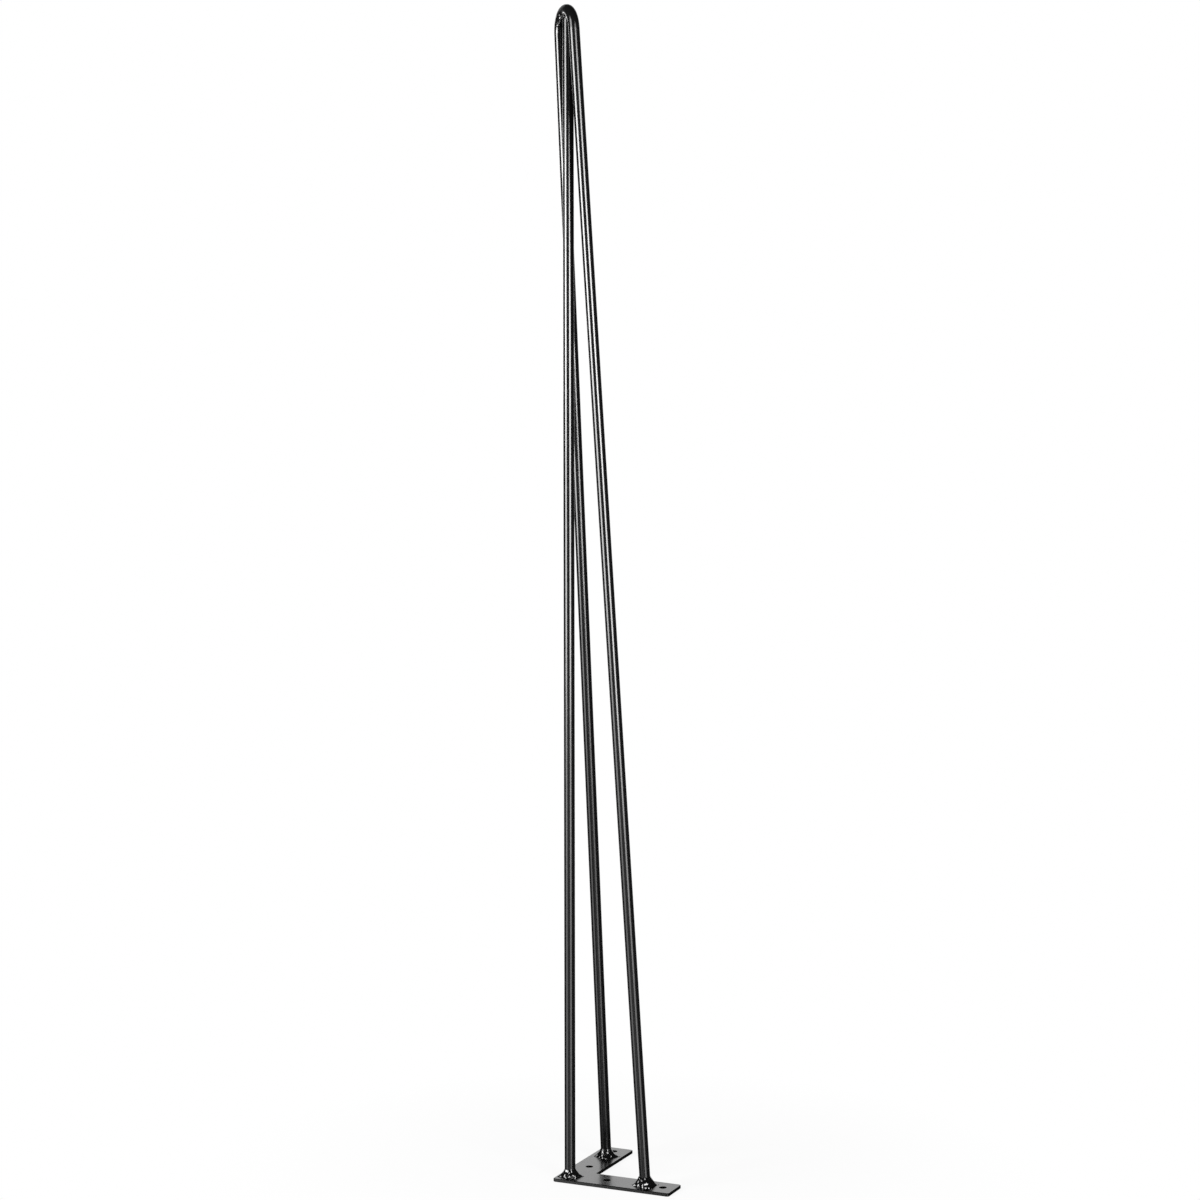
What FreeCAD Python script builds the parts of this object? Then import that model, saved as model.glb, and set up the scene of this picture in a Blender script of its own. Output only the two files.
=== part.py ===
import FreeCAD, Part
import math
import os

# Hairpin table leg: a bent rod and a straight corner rod welded to an L-shaped screw plate.
# It stands on the plate's mounting face with the bend up. Millimetres.
# The origin is on the mounting face under the corner rod, with X and Y along the plate's arms.

# Screw plate
plate_thickness = 3.0
arm_length = 110.0
arm_width = 29.0
corner_inset = 11.5  # from the corner rod's axis to the plate's two outer edges
corner_round = 2.5
notch_round = 1.0
edge_bevel = 0.4

# Screw holes, on the centre line of each arm
screw_hole = 6.0
near_hole_reach = 34.0  # from the corner rod's axis
far_hole_margin = 11.5  # from the arm's end

# Rods
rod_diameter = 9.5
overall_height = 1016.0
arm_rod_reach = 70.5  # from the corner rod's axis to each arm rod's axis, at the plate
bend_radius = 18.0  # of the rod's centre line
bend_setback = 2.2  # how far the bend stands outside the corner rod's foot, along X and along Y
tip_gap = 2.7  # from the corner rod's upper end to the inside of the bend
tip_inset = 1.5  # how far that end stands inside the bend's middle, along X and along Y

# Welds
weld_height = 8.0
weld_spread = 3.3  # how far a collar stands out from its rod, at the plate
weld_lip = 0.4  # how thick a collar is where it ends on the rod
lobe_radius = 2.7
lobe_count = 5
lobe_variation = 0.12  # share by which the lobes of a collar differ in size

# Places worked out from the sizes
Vec = FreeCAD.Vector
up = Vec(0, 0, 1)
rod_radius = rod_diameter / 2
arm_centre = arm_width / 2 - corner_inset
corner_foot = Vec(0, 0, plate_thickness)
x_arm_foot = Vec(arm_rod_reach, arm_centre, plate_thickness)
y_arm_foot = Vec(arm_centre, arm_rod_reach, plate_thickness)
apex = Vec(-bend_setback, -bend_setback, overall_height - rod_radius)
corner_tip = apex + Vec(tip_inset, tip_inset, -rod_radius - tip_gap)


def bend_frame():
    """The bent rod's own plane: its two directions, the bend's centre and how far each leg leans."""
    feet_apart = x_arm_foot - y_arm_foot
    rise = apex - (x_arm_foot + y_arm_foot) * 0.5
    half_spread = feet_apart.Length / 2
    centre_height = rise.Length - bend_radius
    across = feet_apart.normalize()
    rise = rise.normalize()
    to_centre = math.hypot(half_spread, centre_height)
    lean = math.acos(bend_radius / to_centre) - math.atan2(centre_height, half_spread)
    return across, rise, apex - rise * bend_radius, lean


def below_plate_top():
    """A block that fills everything under the plate's upper face, to trim rods and welds flush."""
    size = 2 * (arm_length + arm_rod_reach)
    block = Part.makeBox(size, size, size)
    block.translate(Vec(-size / 2, -size / 2, plate_thickness - size))
    return block


def leg_into_plate(upper_end, foot):
    """A straight round leg from its upper end to its foot, sawn flush with the plate's upper face."""
    axis = foot - upper_end
    run = axis.Length + rod_diameter
    return Part.makeCylinder(rod_radius, run, upper_end, axis).cut(below_plate_top())


def hairpin_rod():
    """One rod: two straight legs that run tangent into the bend."""
    across, rise, centre, lean = bend_frame()
    side = across * (bend_radius * math.cos(lean))
    lift = rise * (bend_radius * math.sin(lean))
    x_spring = centre + side + lift
    y_spring = centre - side + lift
    section = Part.Face(Part.Wire(Part.makeCircle(rod_radius, x_spring, x_arm_foot - x_spring)))
    bend = section.revolve(centre, across.cross(rise), 180 - 2 * math.degrees(lean))
    legs = [leg_into_plate(x_spring, x_arm_foot), leg_into_plate(y_spring, y_arm_foot)]
    return bend.fuse(legs).removeSplitter()


def corner_rod():
    """The straight rod that rises from the plate's corner to just inside the bend."""
    return leg_into_plate(corner_tip, corner_foot)


def plate_outline():
    """The L-shaped face of the plate, before its corners are rounded."""
    low = -corner_inset
    inner = arm_width - corner_inset
    end = arm_length - corner_inset
    corners = [(low, low), (end, low), (end, inner), (inner, inner), (inner, end), (low, end)]
    points = [Vec(x, y, 0) for x, y in corners]
    return Part.Face(Part.makePolygon(points + points[:1]))


def mounting_plate():
    """The screw plate, with rounded corners, broken edges and four punched screw holes."""
    plate = plate_outline().extrude(up * plate_thickness)
    notch = Vec(arm_width - corner_inset, arm_width - corner_inset, plate_thickness / 2)
    upright = [e for e in plate.Edges if abs(e.tangentAt(e.FirstParameter).z) > 0.9]
    in_notch = [e for e in upright if (e.CenterOfMass - notch).Length < plate_thickness / 2]
    plate = plate.makeFillet(notch_round, in_notch)
    upright = [e for e in plate.Edges if abs(e.tangentAt(e.FirstParameter).z) > 0.9]
    outer = [e for e in upright if (e.CenterOfMass - notch).Length > arm_width / 2]
    plate = plate.makeFillet(corner_round, outer)
    for reach in (near_hole_reach, arm_length - corner_inset - far_hole_margin):
        for x, y in ((reach, arm_centre), (arm_centre, reach)):
            plate = plate.cut(Part.makeCylinder(screw_hole / 2, plate_thickness, Vec(x, y, 0)))
    flat_edges = [e for e in plate.Edges if e.BoundBox.ZLength < plate_thickness / 10]
    rim = [e for e in flat_edges if not e.isClosed()]
    return plate.makeChamfer(min(edge_bevel, plate_thickness / 4), rim)


def collar_core():
    """The smooth body of a weld collar about the Z axis, in two tapers, sunk a little for trimming."""
    foot = rod_radius + weld_spread * 0.8
    waist = rod_radius + weld_spread * 0.5
    waist_height = weld_height * 0.45
    lower = Part.makeCone(foot, waist, waist_height)
    upper = Part.makeCone(waist, rod_radius + weld_lip, weld_height - waist_height, up * waist_height)
    sunk = Part.makeCylinder(foot, weld_height / 2, up * (-weld_height / 2))
    return sunk.fuse([lower, upper])


def weld_lobe(angle, share):
    """One puddle of a collar: it is widest at the plate and thins out up the rod."""
    outward = Vec(math.cos(angle), math.sin(angle), 0)
    foot = outward * (rod_radius + weld_spread - lobe_radius * 0.65)
    top = outward * rod_radius + up * (weld_height * share)
    sunk = foot - (top - foot) * 0.3
    return Part.makeCone(lobe_radius * share, lobe_radius * 0.3, (top - sunk).Length, sunk, top - sunk)


def weld_collar(foot, toward, rod, turn):
    """A lobed collar round a rod where it stands on the plate."""
    lobes = []
    for i in range(lobe_count):
        angle = math.radians(turn + 360 * i / lobe_count)
        lobes.append(weld_lobe(angle, 1 - lobe_variation * (1 + math.sin(2.4 * i + angle))))
    collar = collar_core().fuse(lobes)
    collar.Placement = FreeCAD.Placement(foot, FreeCAD.Rotation(up, toward - foot))
    return collar.cut(below_plate_top()).cut(rod)


def bend_weld(corner, hairpin):
    """The weld that joins the corner rod's upper end to the inside of the bend, with a run beside it."""
    across = bend_frame()[0]
    along = (corner_tip - corner_foot).normalize()
    low = corner_tip - along * (weld_height * 0.4)
    middle = corner_tip + along * (weld_lip * 1.5)
    high = corner_tip + along * (tip_gap + rod_radius * 0.4)
    swell = rod_radius + weld_lip * 3
    lower = Part.makeCone(rod_radius + weld_lip, swell, (middle - low).Length, low, along)
    upper = Part.makeCone(swell, rod_radius * 0.55, (high - middle).Length, middle, along)
    run_length = weld_height * 0.6
    run_foot = corner_tip - across * (rod_radius * 0.9) - along * run_length
    run = Part.makeCone(lobe_radius * 0.5, lobe_radius, run_length, run_foot, along)
    return lower.fuse([upper, run]).cut(corner).cut(hairpin)


def save(name, shape):
    """Write one sub-part, and say how many solids it has and how large it is."""
    shape.exportStep("parts/" + name + ".step")
    print(name, len(shape.Solids), "solid(s)", round(shape.Volume, 1), "mm3")


os.makedirs("parts", exist_ok=True)
hairpin = hairpin_rod()
corner = corner_rod()
save("mounting_plate", mounting_plate())
save("hairpin_rod", hairpin)
save("corner_rod", corner)
save("corner_weld", weld_collar(corner_foot, corner_tip, corner, 10))
save("x_arm_weld", weld_collar(x_arm_foot, apex, hairpin, 35))
save("y_arm_weld", weld_collar(y_arm_foot, apex, hairpin, 80))
save("bend_weld", bend_weld(corner, hairpin))
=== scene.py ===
import math
import random

import bmesh
import bpy
from mathutils import Matrix, Vector, noise


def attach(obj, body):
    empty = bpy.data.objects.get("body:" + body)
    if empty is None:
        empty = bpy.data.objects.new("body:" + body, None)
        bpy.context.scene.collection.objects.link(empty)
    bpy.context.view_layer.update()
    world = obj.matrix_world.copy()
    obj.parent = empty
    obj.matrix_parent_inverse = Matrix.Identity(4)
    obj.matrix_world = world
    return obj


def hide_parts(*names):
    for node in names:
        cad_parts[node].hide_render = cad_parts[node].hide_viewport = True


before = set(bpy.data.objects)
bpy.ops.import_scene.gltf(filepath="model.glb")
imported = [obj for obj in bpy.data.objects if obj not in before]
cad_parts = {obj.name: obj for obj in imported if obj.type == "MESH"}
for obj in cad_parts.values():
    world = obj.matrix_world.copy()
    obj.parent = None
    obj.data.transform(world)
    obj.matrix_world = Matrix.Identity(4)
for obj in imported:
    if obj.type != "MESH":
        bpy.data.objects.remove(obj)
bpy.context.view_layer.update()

print("frame loaded:", ", ".join(sorted(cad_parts)))

# The leg's own sizes in metres, the same as the solids'. Plan places are measured from the corner rod.
leg = {
    "plateTop": 0.003,
    "rodRadius": 0.00475,
    "cornerFoot": (0.0, 0.0),
    "xArmFoot": (0.0705, 0.003),
    "yArmFoot": (0.003, 0.0705),
    "bendRadius": 0.018,
    "bendSetback": 0.0022,
    "height": 1.016,
    "tipGap": 0.0027,
    "tipInset": 0.0015,
}


# A socket's value. Sums and products written with it add their Math nodes.
class Value:
    def __init__(self, finish, socket):
        self.finish = finish
        self.socket = socket

    def math(self, operation, first, second):
        return self.finish.node("ShaderNodeMath", {"operation": operation}, {0: first, 1: second})

    def __add__(self, other):
        return self.math("ADD", self, other)

    def __radd__(self, other):
        return self.math("ADD", other, self)

    def __sub__(self, other):
        return self.math("SUBTRACT", self, other)

    def __rsub__(self, other):
        return self.math("SUBTRACT", other, self)

    def __mul__(self, other):
        return self.math("MULTIPLY", self, other)

    def __rmul__(self, other):
        return self.math("MULTIPLY", other, self)


# A material or world being written: node() is the one way to add a node.
class Finish:
    def __init__(self, owner):
        owner.use_nodes = True
        self.owner = owner
        self.tree = owner.node_tree
        self.tree.nodes.clear()

    def node(self, kind, settings=None, sockets=None, output=0):
        made = self.tree.nodes.new(kind)
        for key, value in (settings or {}).items():
            setattr(made, key, value)
        for key, value in (sockets or {}).items():
            if isinstance(value, Value):
                self.tree.links.new(value.socket, made.inputs[key])
            else:
                made.inputs[key].default_value = value
        return Value(self, made.outputs[output]) if made.outputs else None

    def noise(self, scale, detail, roughness):
        place = self.node("ShaderNodeTexCoord", output="Object")
        sockets = {"Vector": place, "Scale": scale, "Detail": detail, "Roughness": roughness}
        return self.node("ShaderNodeTexNoise", {"noise_dimensions": "3D"}, sockets, "Fac")


# Peel and grain are heights in metres. Each noise is its scale, detail and roughness.
powderCoat = {
    "rods": {
        "dark": 0.003, "light": 0.006, "rough": 0.18, "roughSpread": 0.08,
        "peel": 0.000012, "grain": 0.000005,
    },
    "plate": {
        "dark": 0.004, "light": 0.008, "rough": 0.22, "roughSpread": 0.04,
        "peel": 0.000010, "grain": 0.000008,
    },
    "welds": {
        "dark": 0.002, "light": 0.004, "rough": 0.08, "roughSpread": 0.06,
        "peel": 0.000010, "grain": 0.000002,
    },
    "peelNoise": (620.0, 2.0, 0.5),
    "grainNoise": (2300.0, 1.0, 0.5),
    "patchNoise": (70.0, 3.0, 0.6),
    "noiseMiddle": 0.5,
    "patchShare": 0.6,
    "blueTint": 1.04,
    "specular": 1.0,
}
# The punched holes' walls, and a thin ring round each, carry painted shade: a dull near-black coat.
screwHoleShade = {
    "places": [(0.034, 0.003), (0.087, 0.003), (0.003, 0.034), (0.003, 0.087)],
    "radius": 0.0034,
    "coat": {"Base Color": (0.002, 0.002, 0.002, 1), "Roughness": 0.8, "Specular IOR Level": 0.1},
}


# 1 at the screw holes and their rings of painted shade, and 0 elsewhere.
def inHoleShade(finish):
    place = finish.node("ShaderNodeTexCoord", output="Object")
    flat = finish.node("ShaderNodeVectorMath", {"operation": "MULTIPLY"}, {0: place, 1: (1, 1, 0)})
    inside = None
    for x, y in screwHoleShade["places"]:
        ends = {0: flat, 1: (x, y, 0)}
        away = finish.node("ShaderNodeVectorMath", {"operation": "DISTANCE"}, ends, "Value")
        here = finish.node("ShaderNodeMath", {"operation": "LESS_THAN"}, {0: away, 1: screwHoleShade["radius"]})
        inside = here if inside is None else inside + here
    return inside


# Black powder coat: near-black, with orange peel, a fine grain and patches of more and less gloss.
def coatMaterial(name, kind):
    look = powderCoat[kind]
    finish = Finish(bpy.data.materials.new(name))
    peel = finish.noise(*powderCoat["peelNoise"])
    grain = finish.noise(*powderCoat["grainNoise"])
    patches = finish.noise(*powderCoat["patchNoise"])
    share = powderCoat["patchShare"]
    tint = powderCoat["blueTint"]
    shade = finish.node("ShaderNodeMix", {"data_type": "RGBA"}, {
        0: patches * share + grain * (1 - share),
        6: (look["dark"], look["dark"], look["dark"] * tint, 1),
        7: (look["light"], look["light"], look["light"] * tint, 1),
    }, 2)
    height = peel * look["peel"] + grain * look["grain"]
    bump = finish.node("ShaderNodeBump", None, {"Strength": 1.0, "Distance": 1.0, "Height": height})
    shader = finish.node("ShaderNodeBsdfPrincipled", None, {
        "Base Color": shade,
        "Roughness": (patches - powderCoat["noiseMiddle"]) * look["roughSpread"] + look["rough"],
        "Specular IOR Level": powderCoat["specular"],
        "Normal": bump,
    })
    if kind == "plate":
        # Painted shade: a dull near-black coat in and round each screw hole.
        holeShadeCoat = finish.node("ShaderNodeBsdfPrincipled", None, screwHoleShade["coat"])
        shader = finish.node("ShaderNodeMixShader", None, {0: inHoleShade(finish), 1: shader, 2: holeShadeCoat})
    finish.node("ShaderNodeOutputMaterial", None, {"Surface": shader})
    return finish.owner


def coatNode(name, material):
    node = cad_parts[name]
    node.data.materials.clear()
    node.data.materials.append(material)


rodCoat = coatMaterial("blackCoatRods", "rods")
plateCoat = coatMaterial("blackCoatPlate", "plate")
weldCoat = coatMaterial("blackCoatWelds", "welds")
coatNode("hairpin_rod", rodCoat)
coatNode("corner_rod", rodCoat)
coatNode("mounting_plate", plateCoat)
print("coated the plate and the rods")


# Where the corner rod ends, and the middle of the bend on the rod's centre line.
def rodEnds():
    out = leg["bendSetback"]
    apex = Vector((-out, -out, leg["height"] - leg["rodRadius"]))
    inset = leg["tipInset"]
    return apex + Vector((inset, inset, -leg["rodRadius"] - leg["tipGap"])), apex


# The bent rod's plane: its direction across, its direction up and the bend's centre.
def bendPlane():
    xFoot = Vector((*leg["xArmFoot"], leg["plateTop"]))
    yFoot = Vector((*leg["yArmFoot"], leg["plateTop"]))
    apex = rodEnds()[1]
    across = (xFoot - yFoot).normalized()
    rise = (apex - (xFoot + yFoot) / 2).normalized()
    return across, rise, apex - rise * leg["bendRadius"]


def meshObject(name, bm):
    data = bpy.data.meshes.new(name)
    bm.to_mesh(data)
    bm.free()
    made = bpy.data.objects.new(name, data)
    bpy.context.scene.collection.objects.link(made)
    return made


# Puts the result of an object's modifiers in its mesh.
def settle(piece):
    graph = bpy.context.evaluated_depsgraph_get()
    data = bpy.data.meshes.new_from_object(piece.evaluated_get(graph))
    piece.modifiers.clear()
    piece.data = data


def addLump(bm, place, radius, stretch=(1, 1, 1), detail=3):
    spot = Matrix.Translation(place) @ Matrix.Diagonal((*stretch, 1))
    bmesh.ops.create_icosphere(bm, subdivisions=detail, radius=radius, matrix=spot)


# A closed tube round a line of points, used to trim the bend's weld to the rods.
def tubeAlong(name, points, radius, sides=96):
    bm = bmesh.new()
    turns = [2 * math.pi * k / sides for k in range(sides)]
    rings = []
    side = None
    for i, point in enumerate(points):
        ahead = points[min(i + 1, len(points) - 1)] - points[max(i - 1, 0)]
        ahead.normalize()
        side = ahead.orthogonal() if side is None else side - ahead * side.dot(ahead)
        side.normalize()
        other = ahead.cross(side)
        spokes = [side * math.cos(turn) + other * math.sin(turn) for turn in turns]
        rings.append([bm.verts.new(point + spoke * radius) for spoke in spokes])
    for low, high in zip(rings, rings[1:]):
        for k in range(sides):
            bm.faces.new((low[k], low[(k + 1) % sides], high[(k + 1) % sides], high[k]))
    bm.faces.new(list(reversed(rings[0])))
    bm.faces.new(rings[-1])
    return meshObject(name, bm)


def trim(piece, cutters):
    for cutter in cutters:
        cut = piece.modifiers.new("trim", "BOOLEAN")
        cut.operation = "DIFFERENCE"
        cut.solver = "EXACT"
        cut.object = cutter
    settle(piece)
    for cutter in cutters:
        bpy.data.objects.remove(cutter)


# Edges of a weld that are sharper than this, in degrees, stay sharp.
sharpAngle = 50


# Smooths a weld's shading, gives it its coat and lets it stand for the plainer solid.
def finishWeld(piece, node):
    data = piece.data
    data.polygons.foreach_set("use_smooth", [True] * len(data.polygons))
    data.set_sharp_from_angle(angle=math.radians(sharpAngle))
    data.materials.clear()
    data.materials.append(weldCoat)
    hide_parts(node)
    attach(piece, "root")
    print("welded", piece.name, len(data.polygons), "faces")


# Angles are in degrees from the X arm. A tongue is its angle, how far it reaches past the body and
# its width. A puddle is its angle, its share of the collar's height, its radius and how far it bulges.
# A bead is its angle, how far it lies from the rod's axis and its radius.
collars = {
    "cornerWeld": {
        "node": "corner_weld", "foot": "cornerFoot", "seed": 11,
        "height": 0.0070, "body": 0.0028, "curve": 1.15,
        "tongues": [
            (208, 0.0032, 15), (24, 0.0036, 17), (292, 0.0012, 26), (120, 0.0014, 24), (338, 0.0006, 14),
        ],
        "puddles": [(336, 0.42, 0.0031, 0.0013), (258, 0.38, 0.0027, 0.0010), (296, 0.30, 0.0019, 0.0008)],
        "beads": [(22, 0.0117, 0.0006), (215, 0.0104, 0.0004), (262, 0.0108, 0.0004), (78, 0.0112, 0.0005)],
    },
    "xArmWeld": {
        "node": "x_arm_weld", "foot": "xArmFoot", "seed": 77,
        "height": 0.0080, "body": 0.0035, "curve": 0.72,
        "tongues": [(203, 0.0024, 9), (27, 0.0024, 8), (90, 0.0013, 22), (150, 0.0010, 18)],
        "puddles": [
            (298, 0.05, 0.0060, 0.0024), (268, 0.90, 0.0018, 0.0010), (312, 0.88, 0.0018, 0.0010),
            (284, 0.54, 0.0018, 0.0008), (304, 0.56, 0.0018, 0.0008),
        ],
        "beads": [(200, 0.0113, 0.0005), (30, 0.0116, 0.0004), (320, 0.0126, 0.0005)],
    },
    "yArmWeld": {
        "node": "y_arm_weld", "foot": "yArmFoot", "seed": 66,
        "height": 0.0078, "body": 0.0028, "curve": 1.4,
        "tongues": [
            (205, 0.0038, 12), (12, 0.0040, 13), (290, 0.0016, 30), (110, 0.0014, 26), (340, 0.0014, 12),
        ],
        "puddles": [(258, 0.50, 0.0022, 0.0006), (300, 0.10, 0.0018, 0.0006), (322, 0.30, 0.0016, 0.0006)],
        "beads": [(12, 0.0123, 0.0006), (250, 0.0105, 0.0005), (215, 0.0109, 0.0004)],
    },
}
# What the collars share. A row of puddles is its share of the height, their number, radius and bulge.
collarShape = {
    "rows": [(0.10, 9, 0.0026, 0.0009), (0.42, 8, 0.0024, 0.0008), (0.76, 8, 0.0016, 0.00055)],
    "angleSpread": 0.35,
    "sizeSpread": (0.75, 1.2),
    "levelSpread": 0.08,
    "tongueCurve": 3.2,
    "neck": 0.00012,
    "heightSpread": 0.0011,
    "heightWave": 1.6,
    "waveShift": 5,
    "ripple": 0.00008,
    "rippleSize": 0.0016,
    "beadStretch": (1, 1, 0.8),
    "around": 192,
    "levels": 36,
    "levelCurve": 1.25,
}


def angleBetween(first, second):
    return math.atan2(math.sin(first - second), math.cos(first - second))


# The puddles of a collar, row by row from the plate up: angle, share of the height, radius and bulge.
def collarPuddles(choice):
    draw = random.Random(choice["seed"])
    spread = collarShape["levelSpread"]
    puddles = []
    for share, count, radius, bulge in collarShape["rows"]:
        start = draw.uniform(0, 2 * math.pi)
        for i in range(count):
            angle = start + 2 * math.pi * (i + draw.uniform(-1, 1) * collarShape["angleSpread"]) / count
            size = draw.uniform(*collarShape["sizeSpread"])
            puddles.append((angle, share + draw.uniform(-spread, spread), radius * size, bulge * size))
    return puddles


# How far one puddle stands out at an angle and a share of the height, on a body of some girth.
def puddleRise(puddle, angle, share, girth, height):
    middle, level, radius, bulge = puddle
    away = math.hypot(angleBetween(angle, middle) * girth, (share - level) * height) / radius
    return bulge * max(0.0, 1 - away * away)


# How far a collar stands out from its rod at an angle and a share of its height.
def collarReach(choice, puddles, angle, share, place):
    shape = collarShape
    reach = choice["body"] * (1 - share) ** choice["curve"]
    girth = leg["rodRadius"] + reach
    swell = max(puddleRise(puddle, angle, share, girth, choice["height"]) for puddle in puddles)
    for degrees, *rest in choice["puddles"]:
        swell += puddleRise((math.radians(degrees), *rest), angle, share, girth, choice["height"])
    for degrees, length, width in choice["tongues"]:
        off = angleBetween(angle, math.radians(degrees)) / math.radians(width)
        reach += length * math.exp(-off * off) * (1 - share) ** shape["tongueCurve"]
    swell += noise.noise(place / shape["rippleSize"] + Vector((choice["seed"], 0, 0))) * shape["ripple"]
    return max(shape["neck"] * (1 - share), reach + swell * math.sqrt(max(0.0, 1 - share)))


# The flared collar where a rod stands on the plate: a skin round the rod, closed against rod and plate.
def weldCollar(name):
    choice = collars[name]
    shape = collarShape
    radius = leg["rodRadius"]
    base = Vector((*leg[choice["foot"]], leg["plateTop"]))
    tip, apex = rodEnds()
    axis = ((tip if choice["foot"] == "cornerFoot" else apex) - base).normalized()
    shift = Vector((choice["seed"], shape["waveShift"], 0))
    puddles = collarPuddles(choice)
    bm = bmesh.new()
    columns = []
    for i in range(shape["around"]):
        angle = 2 * math.pi * i / shape["around"]
        outward = Vector((math.cos(angle), math.sin(angle), 0))
        wave = noise.noise(outward * shape["heightWave"] + shift)
        height = choice["height"] + wave * shape["heightSpread"]
        column = [bm.verts.new(base + outward * radius)]
        for level in range(shape["levels"] + 1):
            share = (level / shape["levels"]) ** shape["levelCurve"]
            rise = height * share
            centre = base + axis * (rise / axis.z)
            place = outward * (radius + rise) + Vector((0, 0, rise))
            reach = collarReach(choice, puddles, angle, share, place)
            column.append(bm.verts.new(centre + outward * (radius + reach)))
        column.append(bm.verts.new(centre + outward * radius))
        columns.append(column)
    for near, far in zip(columns, columns[1:] + columns[:1]):
        for k in range(len(near)):
            bm.faces.new((near[k - 1], far[k - 1], far[k], near[k]))
    for degrees, reach, size in choice["beads"]:
        angle = math.radians(degrees)
        outward = Vector((math.cos(angle), math.sin(angle), 0))
        addLump(bm, base + outward * reach, size, shape["beadStretch"])
    finishWeld(meshObject(name, bm), choice["node"])


# A lump is its place across, outward and up from the corner rod's end, and its radius, in millimetres.
bendJoint = {
    "lumps": [
        (0.0, 0.0, 1.4, 4.7),
        (0.5, -2.6, 2.2, 3.2),
        (2.8, -0.8, 1.2, 3.0),
        (-3.2, -2.2, 1.8, 3.0),
        (-6.6, -3.6, 1.6, 2.3),
        (-5.4, -4.9, 4.2, 1.5),
        (-8.8, -3.4, -0.4, 1.8),
        (-10.6, -4.0, -2.0, 1.5),
        (-11.9, -4.6, -3.6, 1.9),
        (-3.4, 1.2, -0.6, 2.2),
    ],
    "millimetre": 0.001,
    "voxel": 0.00024,
    "smoothing": 3,
    "ripple": 0.00025,
    "rippleSize": 0.0013,
    "cutterRun": 0.03,
    "cutterTurns": range(-2, 183, 4),
}


# The lumps between the corner rod's upper end and the inside of the bend, melted into one skin.
def weldInBend():
    across, rise, centre = bendPlane()
    outward = rise.cross(across)
    tip = rodEnds()[0]
    bm = bmesh.new()
    for side, front, up, size in bendJoint["lumps"]:
        away = across * side + outward * front + rise * up
        addLump(bm, tip + away * bendJoint["millimetre"], size * bendJoint["millimetre"])
    piece = meshObject("bendWeld", bm)
    melt = piece.modifiers.new("melt", "REMESH")
    melt.mode = "VOXEL"
    melt.voxel_size = bendJoint["voxel"]
    soften = piece.modifiers.new("soften", "SMOOTH")
    soften.iterations = bendJoint["smoothing"]
    settle(piece)
    places = []
    for vertex in piece.data.vertices:
        push = noise.noise(vertex.co / bendJoint["rippleSize"]) * bendJoint["ripple"]
        places.extend(vertex.co + vertex.normal * push)
    piece.data.vertices.foreach_set("co", places)
    piece.data.update()
    down = rise * bendJoint["cutterRun"]
    corner = tubeAlong("cornerCutter", [tip - down, tip], leg["rodRadius"])
    angles = [math.radians(turn) for turn in bendJoint["cutterTurns"]]
    arc = [centre + (across * math.cos(a) + rise * math.sin(a)) * leg["bendRadius"] for a in angles]
    arc.append(arc[-1] - down)
    trim(piece, [corner, tubeAlong("bendCutter", arc, leg["rodRadius"])])
    finishWeld(piece, "bend_weld")


for name in collars:
    weldCollar(name)
weldInBend()

floor = {
    "place": (0.03, 0.03, -0.0002),
    "radius": 0.42,
    "segments": 96,
    "shade": 0.9,
    "shadow": 0.1,
    "fadeFrom": 0.12,
    "fadeTo": 0.38,
}


# A pale disc under the plate. It keeps the leg's shadow and fades into the white round it.
def makeFloor():
    bm = bmesh.new()
    bmesh.ops.create_circle(bm, cap_ends=True, segments=floor["segments"], radius=floor["radius"])
    piece = meshObject("floor", bm)
    piece.location = floor["place"]
    piece.visible_glossy = False
    finish = Finish(bpy.data.materials.new("paleFloor"))
    place = finish.node("ShaderNodeTexCoord", output="Object")
    away = finish.node("ShaderNodeVectorMath", {"operation": "LENGTH"}, {0: place}, "Value")
    near = finish.node("ShaderNodeMapRange", None, {
        "Value": away,
        "From Min": floor["fadeFrom"], "From Max": floor["fadeTo"],
        "To Min": floor["shadow"], "To Max": 0.0,
    })
    isCamera = finish.node("ShaderNodeLightPath", output="Is Camera Ray")
    shade = floor["shade"]
    lit = finish.node("ShaderNodeBsdfDiffuse", None, {"Color": (shade, shade, shade, 1)})
    white = finish.node("ShaderNodeEmission", None, {"Color": (1, 1, 1, 1), "Strength": 1.0})
    mixed = finish.node("ShaderNodeMixShader", None, {0: isCamera * (1 - near), 1: lit, 2: white})
    finish.node("ShaderNodeOutputMaterial", None, {"Surface": mixed})
    piece.data.materials.append(finish.owner)


studio = {"dim": 0.02}


# White where the camera looks past the leg, and a dim studio for everything else.
def makeWorld():
    world = bpy.data.worlds.new("studio")
    bpy.context.scene.world = world
    finish = Finish(world)
    isCamera = finish.node("ShaderNodeLightPath", output="Is Camera Ray")
    dim = finish.node("ShaderNodeBackground", None, {"Color": (1, 1, 1, 1), "Strength": studio["dim"]})
    white = finish.node("ShaderNodeBackground", None, {"Color": (1, 1, 1, 1), "Strength": 1.0})
    sky = finish.node("ShaderNodeMixShader", None, {0: isCamera, 1: dim, 2: white})
    finish.node("ShaderNodeOutputWorld", None, {"Surface": sky})


# Angles in degrees. The azimuth is how far round the leg the camera stands.
camera = {
    "azimuth": 25.08,
    "distance": 2.2,
    "height": 0.654,
    "turn": -0.683,
    "tilt": 3.774,
    "lens": 76.65,
    "sensor": 36,
    "nearest": 0.1,
    "farthest": 50,
}


# A place round the leg: degrees round from the camera, distance and height.
def placeRound(side, distance, height):
    angle = math.radians(camera["azimuth"] + side)
    return Vector((distance * math.sin(angle), -distance * math.cos(angle), height))


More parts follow.
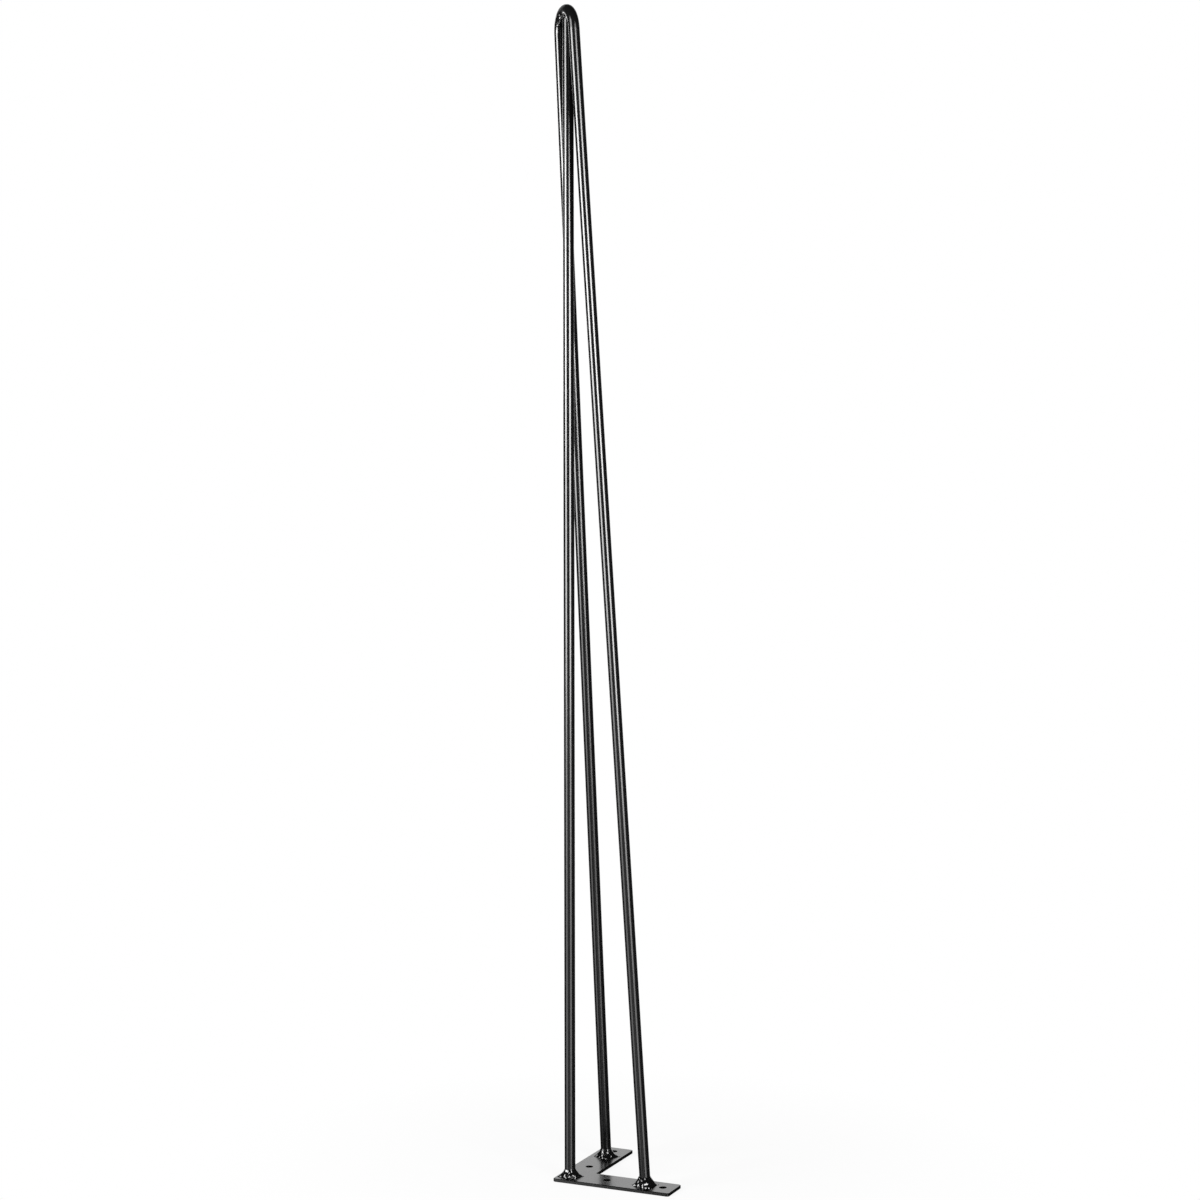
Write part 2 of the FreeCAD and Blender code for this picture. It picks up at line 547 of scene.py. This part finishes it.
def makeCamera():
    data = bpy.data.cameras.new("camera")
    data.lens = camera["lens"]
    data.sensor_width = camera["sensor"]
    data.clip_start = camera["nearest"]
    data.clip_end = camera["farthest"]
    made = bpy.data.objects.new("camera", data)
    made.location = placeRound(0, camera["distance"], camera["height"])
    heading = math.radians(camera["azimuth"] + camera["turn"])
    made.rotation_euler = (math.radians(90 - camera["tilt"]), 0, heading)
    bpy.context.scene.collection.objects.link(made)
    bpy.context.scene.camera = made


# A lamp is its name, degrees round from the camera, distance, height of its middle, width, height
# and how bright its face is.
lamps = {
    "boxes": [
        ("leftPeak", -62, 1.7, 1.675, 0.95, 0.85, 4.5),
        ("leftTop", -62, 1.7, 1.175, 0.95, 0.15, 9.0),
        ("leftHigh", -62, 1.7, 0.88, 0.95, 0.44, 14.5),
        ("leftMiddle", -62, 1.7, 0.46, 0.95, 0.40, 8.0),
        ("leftLow", -62, 1.7, 0.12, 1.05, 0.28, 2.5),
        ("leftFloor", -62, 1.7, -0.28, 1.15, 0.50, 1.3),
        ("rightPeak", 27, 1.7, 1.59, 0.74, 0.62, 2.4),
        ("rightTop", 27, 1.7, 1.19, 0.74, 0.18, 9.6),
        ("rightHigh", 27, 1.7, 0.88, 0.74, 0.44, 15.0),
        ("rightMiddle", 27, 1.7, 0.46, 0.74, 0.40, 10.5),
        ("rightLow", 27, 1.7, 0.12, 0.84, 0.28, 3.6),
        ("rightFloor", 27, 1.7, -0.28, 0.90, 0.50, 1.9),
        ("middleLow", -17, 1.7, 0.0, 0.80, 0.50, 0.2),
        ("middleFloor", -17, 1.7, -0.45, 0.80, 0.40, 0.35),
        ("back", 180, 1.5, 0.25, 1.5, 1.9, 1.15),
        ("backHigh", 180, 1.5, 1.70, 2.4, 1.0, 0.35),
        ("backLeft", -157, 1.5, 1.00, 0.35, 0.6, 2.6),
    ],
    "frontHalf": 90,
}


# The plate as a receiver that a lamp leaves out.
def plateLeftOut():
    receivers = bpy.data.collections.new("plateLeftOut")
    receivers.objects.link(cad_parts["mounting_plate"])
    receivers.collection_objects[0].light_linking.link_state = "EXCLUDE"
    return receivers


# The softboxes in front and above the floor leave out the plate, which from behind would mirror them
# as a white sheet.
def makeLamps():
    receivers = plateLeftOut()
    for name, side, distance, height, width, tall, glow in lamps["boxes"]:
        data = bpy.data.lights.new(name, "AREA")
        data.shape = "RECTANGLE"
        data.size = width
        data.size_y = tall
        data.energy = glow * math.pi * width * tall
        made = bpy.data.objects.new(name, data)
        made.location = placeRound(side, distance, height)
        toward = Vector((0, 0, height)) - made.location
        made.rotation_euler = toward.to_track_quat("-Z", "Y").to_euler()
        made.visible_camera = False
        if abs(side) < lamps["frontHalf"] and height > 0:
            made.light_linking.receiver_collection = receivers
        bpy.context.scene.collection.objects.link(made)


makeFloor()
makeWorld()
makeCamera()
makeLamps()
bpy.context.scene.view_settings.view_transform = "Standard"
print("set the floor, the white behind it, the camera and the lamps")
